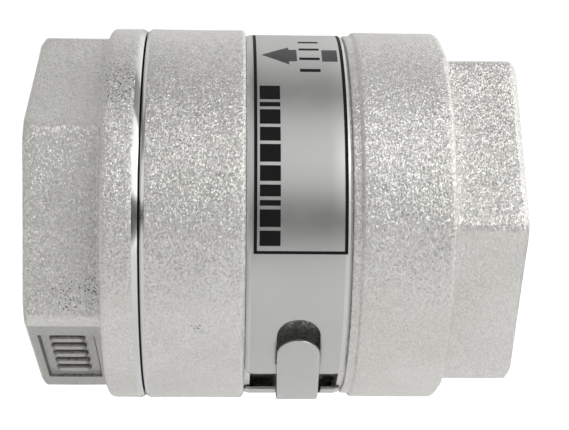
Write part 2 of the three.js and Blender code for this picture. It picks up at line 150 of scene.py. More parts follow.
class Shader(Nodes):
    """A material, which shades by the place of each point in the valve."""

    def __init__(self, name, color, metallic, roughness):
        self.material = bpy.data.materials.new(name)
        self.material.use_nodes = True
        super().__init__(self.material.node_tree)
        self.surface = self.tree.nodes["Principled BSDF"].inputs
        for socket, value in (("Base Color", color), ("Metallic", metallic), ("Roughness", roughness)):
            self.put(self.surface[socket], value)
        self.place = self.node("ShaderNodeTexCoord").outputs["Object"]

    def stretched(self, scale, turn=0.0):
        """The place of each point, turned about Y by some degrees and stretched along the axes."""
        inputs = {"Vector": self.place, "Rotation": (0.0, radians(turn), 0.0), "Scale": scale}
        return self.node("ShaderNodeMapping", inputs).outputs["Vector"]

    def noise(self, scale, detail=2.0, roughness=0.5, vector=None, distortion=0.0):
        inputs = {"Vector": vector or self.place, "Scale": scale, "Detail": detail, "Roughness": roughness,
                  "Distortion": distortion}
        return self.node("ShaderNodeTexNoise", inputs).outputs["Fac"]

    def spread(self, value, low, high, to_low, to_high):
        """A value taken from one range to another, with soft ends."""
        inputs = enumerate((value, low, high, to_low, to_high))
        return self.node("ShaderNodeMapRange", inputs, interpolation_type="SMOOTHSTEP").outputs["Result"]

    def along(self, direction):
        """Distance of the shaded point along a direction, in metres."""
        return self.vector("DOT_PRODUCT", self.place, direction).outputs["Value"]

    def between(self, value, low, high, soft):
        """1 between two values in millimetres, with soft ends."""
        rise = self.spread(value, (low - soft) * MM, low * MM, 0.0, 1.0)
        fall = self.spread(value, high * MM, (high + soft) * MM, 1.0, 0.0)
        return self.math("MULTIPLY", rise, fall)

    def mix(self, factor, first, second, blend="MIX"):
        inputs = {0: factor, 6: first, 7: second}
        return self.node("ShaderNodeMix", inputs, data_type="RGBA", blend_type=blend).outputs[2]

    def times(self, first, second):
        return self.mix(1.0, first, second, "MULTIPLY")

    def bump(self, height, depth, strength=1.0, after=None):
        """Bumps of that depth in metres. after is the normal it starts from."""
        inputs = {"Strength": strength, "Distance": depth, "Height": height, "Normal": after}
        return self.node("ShaderNodeBump", inputs).outputs["Normal"]

    def facets(self, scale, tilt):
        """A normal that leans a random way in each small cell, as blasted metal does."""
        cells = self.node("ShaderNodeTexVoronoi", {"Vector": self.place, "Scale": scale})
        centred = self.vector("SUBTRACT", cells.outputs["Color"], (0.5, 0.5, 0.5))
        lean = self.vector("SCALE", centred.outputs[0], None, None, tilt)
        total = self.vector("ADD", self.node("ShaderNodeNewGeometry").outputs["Normal"], lean.outputs[0])
        return self.vector("NORMALIZE", total.outputs[0]).outputs[0]

    def finish(self, normal=None, color=None, roughness=None):
        for socket, value in (("Normal", normal), ("Base Color", color), ("Roughness", roughness)):
            self.put(self.surface[socket], value)
        return self.material


def near_point(shader, station, radius, angle, size):
    """1 at a point of the casting, falling to 0 at that distance from it, in millimetres."""
    centre = tuple(place(station, radius, radians(angle)))
    away = shader.vector("DISTANCE", shader.place, centre).outputs["Value"]
    return shader.spread(away, 0.15 * size * MM, size * MM, 1.0, 0.0)


def panel_axes():
    """Unit vectors across the marking panel and out of it."""
    turn = radians(PANEL["middle"])
    return (0, -cos(turn), -sin(turn)), (0, -sin(turn), cos(turn))


def in_panel(shader, lowest, highest):
    """1 within the marking panel, between two depths below its flat."""
    across, outward = panel_axes()
    level = shader.between(shader.along(outward), HEX_FLAT - lowest, HEX_FLAT - highest, 0.1)
    width = shader.between(shader.along(across), PANEL["low"], PANEL["high"], 0.1)
    length = shader.between(shader.along((-1, 0, 0)), PANEL["start"], PANEL["end"], 0.1)
    return shader.math("MULTIPLY", level, shader.math("MULTIPLY", width, length))


def panel_flat(shader):
    """1 on the flat round the marking panel, short of the brighter strip along its front edge: where
    painted shade goes.
    """
    across, outward = panel_axes()
    level = shader.between(shader.along(outward), HEX_FLAT - 0.22, HEX_FLAT + 1, 0.15)
    width = shader.between(shader.along(across), SHADED_FROM, 25, 0.8)
    length = shader.between(shader.along((-1, 0, 0)), CAP_HEX_END, LENGTH, 0.5)
    flat = shader.math("MULTIPLY", level, shader.math("MULTIPLY", width, length))
    return shader.math("MAXIMUM", flat, in_panel(shader, PANEL["depth"] + 0.4, 0.35))


# Groups of small pits in the castings: station, radius and angle of the middle, and how far each reaches.
PIT_CLUSTERS = ((85.0, 42.4, 46, 13), (96.0, 35.5, 116, 8), (90.5, 36.0, 112, 7), (69.0, 42.3, 120, 3))
# Painted shade: the first colour darkens the downward flat round the marking panel, the second the pits
# and, with some dirt, the panel's sunk walls.
PAINTED_FLAT_SHADE, HOLLOW_PAINTED_SHADE_AND_DIRT = (0.25, 0.25, 0.245), (0.13, 0.125, 0.12)


def cast_steel(name, level):
    """Investment-cast stainless steel, shot blasted: matt, with a fine glinting grain and small pits; some
    glints and shade are painted into its colour.
    """
    shader = Shader(name, (0.75, 0.74, 0.715), 1.0, 0.42)
    ridges = shader.stretched((1.0, 0.8, 0.55), 40)
    grain = shader.noise(3000, 2.0, 0.55, ridges, 0.25)
    coarse = shader.noise(1050, 2.0, 0.5, ridges, 0.3)
    cloud = shader.noise(45, 3.0, 0.55)
    crowd = near_point(shader, *PIT_CLUSTERS[0])
    for cluster in PIT_CLUSTERS[1:]:
        crowd = shader.math("MAXIMUM", crowd, near_point(shader, *cluster))
    threshold = shader.math("MULTIPLY_ADD", crowd, -0.19, 0.81)
    pits = shader.math("GREATER_THAN", shader.noise(2500, 1.0, 0.4), threshold)
    tint = shader.mix(shader.spread(cloud, 0.35, 0.7, 0.0, 1.0), (0.72, 0.71, 0.685), (0.78, 0.77, 0.75))
    # painted glint: the colour rises and falls with the fine grain
    painted_glint = shader.mix(shader.spread(grain, 0.35, 0.65, 0.0, 1.0), (0.9, 0.9, 0.9), (1.06, 1.06, 1.06))
    # level scales the whole colour; below 1 it gives a darker copy, painted shade
    tint = shader.times(shader.times(tint, painted_glint), (level, level, level))
    # painted shade on the downward flat round the marking panel
    tint = shader.mix(shader.math("MULTIPLY", panel_flat(shader), 0.5), tint, PAINTED_FLAT_SHADE)
    # painted shade, with some dirt, on the sunk walls of the marking panel
    panel_wall_shade = in_panel(shader, PANEL["depth"] - 0.12, 0.2)
    tint = shader.mix(shader.math("MULTIPLY", panel_wall_shade, 0.75), tint, HOLLOW_PAINTED_SHADE_AND_DIRT)
    # painted shade in the pits
    color = shader.mix(pits, tint, HOLLOW_PAINTED_SHADE_AND_DIRT)
    roughness = shader.spread(coarse, 0.3, 0.7, 0.38, 0.48)
    height = shader.math("SUBTRACT", grain, shader.math("MULTIPLY", pits, 1.2))
    normal = shader.bump(height, 0.0002, 0.9, shader.facets(3000, 0.56))
    return shader.finish(shader.bump(coarse, 0.0001, 0.8, normal), color, roughness)


def turned_steel(name, color, roughness, groove):
    """Machined steel with fine rings left by the tool, which run round the flow axis."""
    shader = Shader(name, color, 1.0, roughness)
    parts = shader.node("ShaderNodeSeparateXYZ", {0: shader.place}).outputs
    square = shader.math("ADD", *(shader.math("POWER", parts[axis], 2.0) for axis in "YZ"))
    across = shader.math("ADD", parts["X"], shader.math("MULTIPLY", shader.math("SQRT", square), 1.37))
    inputs = {"W": across, "Scale": 5200, "Detail": 3.0}
    rings = shader.node("ShaderNodeTexNoise", inputs, noise_dimensions="1D").outputs["Fac"]
    wear = shader.spread(shader.noise(160, 3.0, 0.6), 0.3, 0.7, roughness - 0.05, roughness + 0.08)
    return shader.finish(shader.bump(rings, groove), None, wear)


def strap_steel():
    """Smooth satin strip, faintly rolled along its length."""
    shader = Shader("strap_stainless", (0.575, 0.575, 0.569), 1.0, 0.4)
    lines = shader.noise(3800, 3.0, 0.6, shader.stretched((1.0, 0.04, 0.04)))
    smear = shader.spread(shader.noise(90, 3.0, 0.6), 0.3, 0.7, 0.36, 0.43)
    normal = shader.bump(lines, 0.000006, 0.8, shader.bump(shader.noise(900, 2.0), 0.000012, 0.6))
    return shader.finish(normal, None, smear)


def plain_solid(name, color, roughness, grain_scale, depth, metallic=0.0):
    """A polymer or bearing metal with a fine surface and slight shading."""
    shader = Shader(name, color, metallic, roughness)
    grain = shader.noise(grain_scale, 3.0, 0.6)
    dark = tuple(0.8 * part for part in color)
    shade = shader.mix(shader.spread(shader.noise(140, 2.0), 0.35, 0.65, 0.0, 1.0), color, dark)
    wear = shader.spread(grain, 0.3, 0.7, roughness - 0.06, roughness + 0.08)
    return shader.finish(shader.bump(grain, depth), shade, wear)


# ---- meshes ----


def place(station, radius, angle):
    """Points in metres from stations and radii in millimetres and angles in radians."""
    station, radius, angle = np.broadcast_arrays(station, radius, angle)
    return np.stack([-station, -radius * np.sin(angle), radius * np.cos(angle)], -1) * MM


def add_object(name, data):
    made = bpy.data.objects.new(name, data)
    bpy.context.scene.collection.objects.link(made)
    return made


def make_object(name, points, faces, zones, materials):
    mesh = bpy.data.meshes.new(name)
    mesh.from_pydata(np.asarray(points, float).reshape(-1, 3).tolist(), [], faces)
    for material in materials:
        mesh.materials.append(material)
    mesh.polygons.foreach_set("material_index", zones)
    mesh.polygons.foreach_set("use_smooth", [True] * len(mesh.polygons))
    tidy = bmesh.new()
    tidy.from_mesh(mesh)
    bmesh.ops.recalc_face_normals(tidy, faces=tidy.faces)
    tidy.to_mesh(mesh)
    tidy.free()
    return add_object(name, mesh)


def keep_sharp(made, angle=40.0):
    """Edges steeper than the angle stay crisp."""
    made.data.set_sharp_from_angle(angle=radians(angle))
    return made


class Corner:
    """One corner of an outline: its station and radius, its rounding, and what follows it."""

    def __init__(self, station, radius, size=0.0, steps=3, cuts=1, zone=0):
        self.station, self.radius, self.size = station, radius, size
        self.steps, self.cuts, self.zone = steps, cuts, zone


def rounded(before, corner, after, size, steps):
    """The arc that rounds a corner, for every angle at once."""
    back, ahead = before - corner, after - corner
    back_length = np.maximum(np.linalg.norm(back, axis=-1, keepdims=True), 1e-6)
    ahead_length = np.maximum(np.linalg.norm(ahead, axis=-1, keepdims=True), 1e-6)
    back, ahead = back / back_length, ahead / ahead_length
    opening = np.arccos(np.clip((back * ahead).sum(-1, keepdims=True), -0.99999, 0.99999))
    setback = np.minimum(size / np.tan(opening / 2), 0.48 * np.minimum(back_length, ahead_length))
    bisector = back + ahead
    bisector = bisector / np.maximum(np.linalg.norm(bisector, axis=-1, keepdims=True), 1e-6)
    centre = corner + bisector * setback / np.cos(opening / 2)
    start, end = corner + back * setback - centre, corner + ahead * setback - centre
    sweep = pi - opening
    turns = [sweep * step / steps for step in range(steps + 1)]
    return [centre + (start * np.sin(sweep - turn) + end * np.sin(turn)) / np.sin(sweep) for turn in turns]


def outline_rows(corners, angles, loop=True):
    """Rows of [station, radius] at every angle, and the zone of the strip after each row."""
    spots = [np.stack(np.broadcast_arrays(c.station, c.radius, angles)[:2], -1) for c in corners]
    arcs = [[spot] for spot in spots]
    for index, corner in enumerate(corners):
        if corner.size:
            after = spots[(index + 1) % len(corners)]
            arcs[index] = rounded(spots[index - 1], spots[index], after, corner.size, corner.steps)
    rows, zones = [], []
    for index, (arc, corner) in enumerate(zip(arcs, corners)):
        rows += arc
        if index + 1 < len(arcs) or loop:
            start, end = arc[-1], arcs[(index + 1) % len(arcs)][0]
            rows += [start + (end - start) * cut / corner.cuts for cut in range(1, corner.cuts)]
        zones += [corner.zone] * (len(rows) - len(zones))
    return np.array(rows), zones


def grid_faces(row_count, column_count, wrap_rows, wrap_columns):
    """Faces between neighbours in a grid of points, which may close on itself either way."""
    faces = []
    for row in range(row_count if wrap_rows else row_count - 1):
        here, beyond = row * column_count, (row + 1) % row_count * column_count
        for column in range(column_count if wrap_columns else column_count - 1):
            beside = (column + 1) % column_count
            faces.append((here + column, here + beside, beyond + beside, beyond + column))
    return faces


def tube_faces(row_count, column_count):
    """Faces of a tube whose rows run along it and close round it, with a cap at each end."""
    starts = range(0, row_count * column_count, column_count)
    caps = [tuple(starts), tuple(start + column_count - 1 for start in starts)]
    return grid_faces(row_count, column_count, True, False) + caps


def turned(name, corners, angles, materials, loop=True, shape=None):
    """A solid turned about the flow axis. An outline that isn't a loop is closed by flat ends."""
    rows, zones = outline_rows(corners, angles, loop)
    points = place(rows[..., 0], rows[..., 1], angles)
    if shape is not None:
        points = shape(rows, points, np.array(zones))
    faces = grid_faces(len(rows), len(angles), loop, True)
    face_zones = [zone for zone in (zones if loop else zones[:-1]) for _ in angles]
    if not loop:
        last = (len(rows) - 1) * len(angles)
        faces += [tuple(range(len(angles))), tuple(range(last, last + len(angles)))]
        face_zones += [zones[0], zones[-1]]
    return make_object(name, points, faces, face_zones, materials)


def turned_arc(name, corners, angles, material, shape=None):
    """Part of a turned ring over those angles, with closed ends."""
    rows, zones = outline_rows(corners, angles)
    points = place(rows[..., 0], rows[..., 1], angles)
    if shape is not None:
        points = shape(rows, points, np.array(zones))
    faces = tube_faces(len(rows), len(angles))
    return keep_sharp(make_object(name, points, faces, [0] * len(faces), [material]))


def join(name, parts):
    """One object from several that share their material slots."""
    merged = bmesh.new()
    for part in parts:
        merged.from_mesh(part.data)
    mesh = parts[0].data
    merged.to_mesh(mesh)
    merged.free()
    for part in parts[1:]:
        bpy.data.objects.remove(part)
    parts[0].name = name
    return parts[0]


def circle(count):
    """Evenly spaced angles all the way round."""
    return np.radians(np.arange(count) * 360.0 / count)


def fold(angles, first_corner):
    """Angle from the nearest corner of a hexagon, in radians."""
    sixth = radians(60)
    return (angles - radians(first_corner) + sixth / 2) % sixth - sixth / 2


def hexagon_radius(angles, flat, corner_round, first_corner):
    """Radius of a hexagon with rounded corners, at each angle."""
    away = np.abs(fold(angles, first_corner))
    centre = (flat - corner_round) / cos(radians(30))
    tangent = atan2(corner_round / 2, centre + corner_round * cos(radians(30)))
    aside = centre * np.sin(away)
    on_arc = centre * np.cos(away) + np.sqrt(np.maximum(corner_round ** 2 - aside ** 2, 0))
    return np.where(away < tangent, on_arc, flat / np.cos(radians(30) - away))


def hexagon_angles(first_corner, step, dense=()):
    """Angles round a hexagon: fine at its rounded corners, and in each (from, to, step) range."""
    found = set()
    for corner in range(6):
        middle = first_corner + 60 * corner
        found.update(round(middle + offset, 4) % 360 for offset in np.arange(-2.1, 2.11, 0.3))
        found.update(round(middle + offset, 4) % 360 for offset in np.arange(2.6, 57.5, step))
    for low, high, fine in dense:
        found.update(round(angle, 4) % 360 for angle in np.arange(low, high + 0.001, fine))
    ordered = sorted(found)
    kept = [ordered[0]]
    for angle in ordered[1:]:
        if angle - kept[-1] > 0.15:
            kept.append(angle)
    return np.radians(kept)


def wavy(rows, points, zones):
    """Pulls the cast surfaces in by a slow random amount, as a casting's skin wanders."""
    depth, scale = 0.12 * MM, 9 * MM
    moved = points.copy()
    for row in np.flatnonzero(zones == 0):
        for column in range(points.shape[1]):
            spot = Vector(points[row, column])
            pull = depth * (0.5 + 0.5 * noise.noise(spot / scale))
            moved[row, column] = spot - Vector((0, spot.y, spot.z)).normalized() * pull
    return moved


def smooth_step(value, low, high):
    """0 below low, 1 above high, and a soft step between them."""
    share = np.clip((np.asarray(value, float) - low) / (high - low), 0, 1)
    return share * share * (3 - 2 * share)


def angle_list(*spans):
    """Angles in radians from (from, to, step) spans in degrees that follow each other."""
    found = []
    for low, high, step in spans:
        count = max(1, round((high - low) / step))
        found += [low + (high - low) * index / count for index in range(count)]
    return np.radians(found + [spans[-1][1]])


# ---- housing ----


def rear_ring(angles):
    """Radius of the cast rings by the seam: the machined edges are a little off centre to the casting."""
    return SEAM_EDGE + 0.5 + 0.2 * np.cos(angles - radians(80))


def port_root(depth):
    """Root radius of a port's taper thread at that depth from its face."""
    return PORT_ROOT - PORT_TAPER * depth


def thread_ridge(name, face, inward, materials):
    """The crests of a right-hand female taper thread, as one helical ridge."""
    turns = (PORT_DEPTH - MOUTH_DEPTH - 0.8) / PITCH
    steps = 64
    depth = MOUTH_DEPTH + 0.3 + PITCH * np.arange(int(turns * steps)) / steps
    angles = -inward * 2 * pi * depth / PITCH
    run_in = smooth_step(depth - depth[0], 0, 1.5) * smooth_step(depth[-1] - depth, 0, 2.5)
    height = THREAD_HEIGHT * (0.12 + 0.88 * run_in)
    flank, crest = 0.46 * PITCH, 0.07 * PITCH
    section = ((-flank, -0.25), (-flank, 0.06), (-crest, height), (crest, height), (flank, 0.06),
               (flank, -0.25))
    points = [place(face + inward * (depth + along), port_root(depth) - rise, angles)
              for along, rise in section]
    faces = tube_faces(len(section), len(depth))
    return keep_sharp(make_object(name, np.array(points), faces, [1] * len(faces), materials), 25)


def hexagonal_end(face, inward, edge, angles, first_corner):
    """The face, chamfered edge and flats of a hexagonal end."""
    hexagon = hexagon_radius(angles, HEX_FLAT, HEX_ROUND, first_corner)
    rim = np.minimum(hexagon - edge, HEX_CHAMFER_CIRCLE)
    depth = np.maximum(edge, (hexagon - rim) * tan(radians(30)))
    return hexagon, rim, face + inward * depth


def bored(corners):
    """Marks corners of an outline as machined."""
    for corner in corners:
        corner.zone = 1
    return corners


def body_piece(cast, machined, shaded):
    low, high = POCKET_SPAN
    angles = hexagon_angles(30, 1.5, [(low - 0.6, low + 0.6, 0.3), (high - 0.6, high + 0.6, 0.3)])
    turned_degrees = np.degrees(angles)
    hexagon, rim, edge = hexagonal_end(0, 1, INLET_EDGE, angles, 30)
    ring = rear_ring(angles)
    entered, left = (smooth_step(turned_degrees, end - 0.4, end + 0.4) for end in POCKET_SPAN)
    floor = GROOVE_FLOOR - (GROOVE_FLOOR - POCKET_FLOOR) * (entered - left)
    seam_edge = BODY_SEAM - 1.25 * (ring - SEAM_EDGE)
    gasket_seat = CAP_SEAM - 1.2
    gasket_bore = 40.8
    outside = [
        Corner(0, rim, 0.5, 3),
        Corner(edge, hexagon, 0.9, 4, cuts=5),
        Corner(BODY_HEX_END, hexagon, 0.8, 4),
        Corner(BODY_HEX_END, FRONT_RING, 1.5, 5, cuts=7),
        Corner(CREASE - 0.35, FRONT_RING, 0.8, 3),
        Corner(CREASE + 0.1, GROOVE_FLOOR + 1.0, 0.25, 2, cuts=2),
        Corner(RAMP_END - 0.25, GROOVE_FLOOR + 0.9, 0.3, 2),
        Corner(RAMP_END, GROOVE_FLOOR),
        Corner(38.15, GROOVE_FLOOR),
        # zone 2, the groove floor under the strap and its pocket, takes the half-bright cast: painted shade
        Corner(38.3, floor, cuts=3, zone=2),
        Corner(57.3, floor, zone=2),
        Corner(57.45, GROOVE_FLOOR),
        Corner(GROOVE_END, GROOVE_FLOOR, 0.4, 3),
        Corner(GROOVE_END, ring, 1.9, 6, cuts=8),
    ]
    inner = bored([
        Corner(seam_edge, ring, 0.15, 2),
        Corner(BODY_SEAM, SEAM_EDGE),
        Corner(BODY_SEAM, gasket_bore),
        Corner(gasket_seat, gasket_bore),
        Corner(gasket_seat, JOINT_BORE),
        Corner(CHAMBER_END, JOINT_BORE, 0.3, 2),
        Corner(CHAMBER_END, CHAMBER, 0.4, 2, cuts=3),
        Corner(CHAMBER_START, CHAMBER, 1.5, 3),
        Corner(POCKET_END, POCKET, 0.6, 3),
        Corner(CLIP_GROOVE_END, POCKET),
        Corner(CLIP_GROOVE_END, CLIP_GROOVE),
        Corner(CLIP_GROOVE_START, CLIP_GROOVE),
        Corner(CLIP_GROOVE_START, POCKET, cuts=3),
        Corner(POCKET_START, POCKET),
        Corner(POCKET_START, WEB, 0.6, 3),
        Corner(PORT_DEPTH, WEB, 0.6, 3),
        Corner(PORT_DEPTH, port_root(PORT_DEPTH), 0.4, 2, cuts=4),
        Corner(MOUTH_DEPTH, port_root(MOUTH_DEPTH)),
    ])
    corners = bored([Corner(0, MOUTH)]) + outside + inner
    materials = [cast, machined, shaded]
    shell = turned("body_shell", corners, angles, materials, shape=wavy)
    return join("body_look", [keep_sharp(shell), thread_ridge("inlet_thread", 0, 1, materials)])


def sink_panel(rows, points):
    """Presses the marking panel into one flat of the end cap's hexagon."""
    across, outward = (np.array(axis) for axis in panel_axes())
    along = points @ across / MM
    level = points @ outward / MM
    wall = PANEL["wall"]
    sunk = smooth_step(along, PANEL["low"], PANEL["low"] + wall)
    sunk = sunk * smooth_step(-along, -PANEL["high"], -PANEL["high"] + wall)
    sunk = sunk * smooth_step(rows[..., 0], PANEL["start"], PANEL["start"] + wall)
    sunk = sunk * smooth_step(-rows[..., 0], -PANEL["end"], -PANEL["end"] + wall)
    sunk = sunk * (np.abs(level - HEX_FLAT) < 0.3)
    return points - sunk[..., None] * PANEL["depth"] * MM * outward


def end_cap_piece(cast, machined):
    flat = PANEL["middle"]
    low, high = (flat + degrees(atan(PANEL[side] / HEX_FLAT)) for side in ("low", "high"))
    angles = hexagon_angles(0, 1.5, [(low - 0.6, low + 0.8, 0.18), (high - 0.8, high + 0.6, 0.18)])
    hexagon, rim, edge = hexagonal_end(LENGTH, -1, OUTLET_EDGE, angles, 0)
    chamfer = 0.9 + 0.3 * np.cos(angles - radians(76))
    ring = SEAM_EDGE + chamfer * tan(radians(28.6))
    port_end = LENGTH - PORT_DEPTH
    wall = PANEL["wall"]
    outside = [
        Corner(LENGTH, rim, 0.4, 3),
        Corner(edge, hexagon, 0.6, 3),
        Corner(PANEL["end"] + 0.05, hexagon, cuts=2),
        Corner(PANEL["end"] - wall, hexagon, cuts=9),
        Corner(PANEL["start"] + wall, hexagon, cuts=2),
        Corner(PANEL["start"] - 0.05, hexagon),
        Corner(CAP_HEX_END, hexagon, 0.8, 4),
        Corner(CAP_HEX_END, ring, 1.6, 6, cuts=4),
    ]
    inner = bored([
        Corner(CAP_SEAM + chamfer, ring),
        Corner(CAP_SEAM, SEAM_EDGE),
        Corner(CAP_SEAM, SKIRT),
        Corner(SKIRT_END + 0.8, SKIRT, 0.3, 2),
        Corner(SKIRT_END, SKIRT - 0.8),
        Corner(SKIRT_END, THROAT, 0.4, 2),
        Corner(SKIRT_END + 2, THROAT, 1.0, 3),
        Corner(port_end, THROAT_END, 0.3, 2),
        Corner(port_end, port_root(PORT_DEPTH), 0.4, 2, cuts=4),
        Corner(LENGTH - MOUTH_DEPTH, port_root(MOUTH_DEPTH)),
    ])
    corners = bored([Corner(LENGTH, MOUTH)]) + outside + inner

    def shape(rows, points, zones):
        return sink_panel(rows, wavy(rows, points, zones))

    shell = keep_sharp(turned("end_cap_shell", corners, angles, [cast, machined], shape=shape), 50)
    return join("end_cap_look", [shell, thread_ridge("outlet_thread", LENGTH, -1, [cast, machined])])


def cast_bar(middle_across, middle_station, half_long, half_wide, height, material):
    """A raised bar with round ends and a rounded top, standing on the floor of the marking panel."""
    rings = ((1.0, 0.0), (0.98, 0.45), (0.86, 0.8), (0.6, 0.97), (0.25, 1.0))
    across, outward = (np.array(axis) for axis in panel_axes())
    sides = 28
    around = np.arange(sides) * 2 * pi / sides
    straight = max(0.0, half_long - half_wide)
    points = []
    for share, level in rings:
        station = half_wide * share * np.cos(around) + straight * np.sign(np.cos(around)) * share ** 0.2
        side = half_wide * share * np.sin(around)
        base = HEX_FLAT - PANEL["depth"] - 0.12 + (height + 0.12) * level
        spots = outward * base + np.outer(middle_across + side, across)
        spots[:, 0] = -(middle_station + station)
        points.append(spots * MM)
    faces = grid_faces(len(rings), sides, False, True)
    faces += [tuple(range(sides)), tuple(range((len(rings) - 1) * sides, len(rings) * sides))]
    return make_object("bar", np.array(points), faces, [0] * len(faces), [material])


def panel_marks(cast):
    """A plain row of raised bars in the marking panel."""
    middle = (PANEL["start"] + PANEL["end"]) / 2
    half_long, half_wide, height, pitch = 3.9, 1.35, 0.82, 4.4
    first = PANEL["low"] + 3.2
    return join("end_cap_marks", [
        cast_bar(first + pitch * index, middle, half_long, half_wide, height, cast) for index in range(5)])


def body_gasket_piece(material):
    start, end = stations("body_gasket")
    return turned("body_gasket_look", [
        Corner(start, 38.8, 0.2, 2), Corner(end, 38.8, 0.2, 2),
        Corner(end, 40.5, 0.3, 3), Corner(start, 40.5, 0.3, 3)], circle(160), [material])


# ---- nameplate strap ----

STRAP_FRONT, STRAP_REAR = 143.7, 158.0
TONGUE_MIDDLE, TONGUE_HALF, TONGUE_TIP, TONGUE_ROOT = 47.4, 4.55, 125.0, 186.0
TONGUE_STAND = 1.43
TONGUE_LEAN = 0.9               # how much nearer the inlet the tongue's root lies than its tip
WINDOW = (118.8, 138.0)         # of the round-ended window under the tongue's tip
MARGIN, MARGIN_DROP = 1.1, 0.28  # of the bent edges along both sides


def corner_cut(angles, end, size):
    """How far a strip's side pulls in near an end so that its corners are round, in millimetres."""
    away = np.clip(np.abs(np.degrees(angles) - end) * radians(STRAP_OUTER), 0, size)
    return size - np.sqrt(np.maximum(size ** 2 - (size - away) ** 2, 0))


def strip_corners(start, end, inner, outer, cuts=1, edge=0.16):
    """Section of the strap, with corners where its edges start to bend."""
    return [Corner(start, inner, edge, 2), Corner(start, outer, edge, 2),
            Corner(start + MARGIN, outer, cuts=cuts), Corner(end - MARGIN, outer),
            Corner(end, outer, edge, 2), Corner(end, inner, edge, 2),
            Corner(end - MARGIN, inner, cuts=cuts), Corner(start + MARGIN, inner)]


def strap_strip(name, start, end, cuts, angles, material):
    """A stretch of the strap between two stations, which may change along it."""
    corners = strip_corners(start, end, STRAP_INNER, STRAP_OUTER, cuts)
    return turned_arc(name, corners, angles, material, bent_edges)


def bent_edges(rows, points, zones):
    """Bends the two long edges of the strap a little toward the groove's floor."""
    inside = np.minimum(rows[..., 0] - STRAP_START, STRAP_END - rows[..., 0])
    pull = MARGIN_DROP * np.clip(1 - inside / MARGIN, 0, 1)
    radial = points * (0, 1, 1)
    radial = radial / np.linalg.norm(radial, axis=-1, keepdims=True)
    return points - radial * pull[..., None] * MM


def half_round(angles, tip, radius):
    """Half width of a round-ended strip or window, from its tip on."""
    away = np.clip((angles - radians(tip)) * radius, 0.02, TONGUE_HALF)
    return np.sqrt(TONGUE_HALF ** 2 - (TONGUE_HALF - away) ** 2)


def strap_front(material):
    """The front of the strap, with the window that the tongue's tip hooks into."""
    tip, end = WINDOW
    around = angle_list((TONGUE_ROOT - 360, tip, 2))
    parts = [strap_strip("wrap", STRAP_START, STRAP_END, 6, around, material)]
    beside = angle_list((tip, tip + 0.4, 0.05), (tip + 0.4, tip + 7, 0.3), (tip + 7, end, 1))
    half = half_round(beside, tip, STRAP_OUTER)
    for near, far in ((STRAP_START, TONGUE_MIDDLE - half), (TONGUE_MIDDLE + half, STRAP_END)):
        parts.append(strap_strip("leg", near, far, 4, beside, material))
    angles = angle_list((end, STRAP_FRONT - 2.7, 1), (STRAP_FRONT - 2.7, STRAP_FRONT, 0.25))
    cut = corner_cut(angles, STRAP_FRONT, 2.0)
    parts.append(strap_strip("front", STRAP_START + cut, STRAP_END - cut, 6, angles, material))
    return parts


def strap_prong(start, end, round_start, material):
    """One of the two legs of the strap beside the tongue."""
    angles = angle_list((STRAP_REAR, STRAP_REAR + 2.8, 0.25), (STRAP_REAR + 2.8, TONGUE_ROOT, 2))
    cut = corner_cut(angles, STRAP_REAR, 1.6)
    near, far = (start + cut, end) if round_start else (start, end - cut)
    return strap_strip("prong", near, far, 3, angles, material)


def tongue(material):
    round_end = TONGUE_TIP + degrees(TONGUE_HALF / (STRAP_OUTER + TONGUE_STAND))
    bend = TONGUE_ROOT - 12
    angles = angle_list((TONGUE_TIP, TONGUE_TIP + 0.6, 0.05), (TONGUE_TIP + 0.6, round_end, 0.35),
                        (round_end, bend, 1.2), (bend, TONGUE_ROOT + 0.4, 0.6))
    turned_degrees = np.degrees(angles)
    outer = STRAP_OUTER + TONGUE_STAND * smooth_step(TONGUE_ROOT - turned_degrees, 1.0, 9.0)
    half = half_round(angles, TONGUE_TIP, outer)
    middle = TONGUE_MIDDLE - TONGUE_LEAN * smooth_step(turned_degrees, TONGUE_TIP, TONGUE_ROOT - 6)
    corners = strip_corners(middle - half, middle + half, outer - STRAP_SHEET, outer, cuts=6, edge=0.2)
    return turned_arc("tongue", corners, angles, material)


def strap_piece(material, painted_highlight_material):
    """The whole strap. Its bent edges get a lighter material of their own, a painted highlight."""
    slit = TONGUE_HALF + 0.4
    root = TONGUE_MIDDLE - TONGUE_LEAN
    parts = strap_front(material) + [
        strap_prong(STRAP_START, root - slit, True, material),
        strap_prong(root + slit, STRAP_END, False, material),
        tongue(material),
    ]
    strap = join("nameplate_strap", parts)
    strap.data.materials.append(painted_highlight_material)
    # the lighter edge material is a painted highlight on the bent edges
    for face in strap.data.polygons:
        station = -face.center.x / MM
        face.material_index = int(min(station - STRAP_START, STRAP_END - station) < MARGIN)
    return strap


# Printed marks on the strap. Stations and angles follow its label's frame.
LABEL_START, LABEL_END = 38.15, 56.85
LABEL_TOP, LABEL_BOTTOM = 2.0, 97.0
LINE = 0.7


def ink_patch(start, end, first, last, material, step=1.0):
    """A printed area between two stations, which may change along it, and two angles in degrees."""
    count = max(2, int((last - first) / step) + 1)
    angles = np.radians(np.linspace(first, last, count))
    shares = np.linspace(0, 1, count)
    near = start(shares) if callable(start) else start
    far = end(shares) if callable(end) else end
    lift = 0.025
    corners = [Corner(near, STRAP_OUTER - 0.05), Corner(near, STRAP_OUTER + lift, cuts=2),
               Corner(far, STRAP_OUTER + lift), Corner(far, STRAP_OUTER - 0.05, cuts=2)]
    return turned_arc("ink", corners, angles, material)


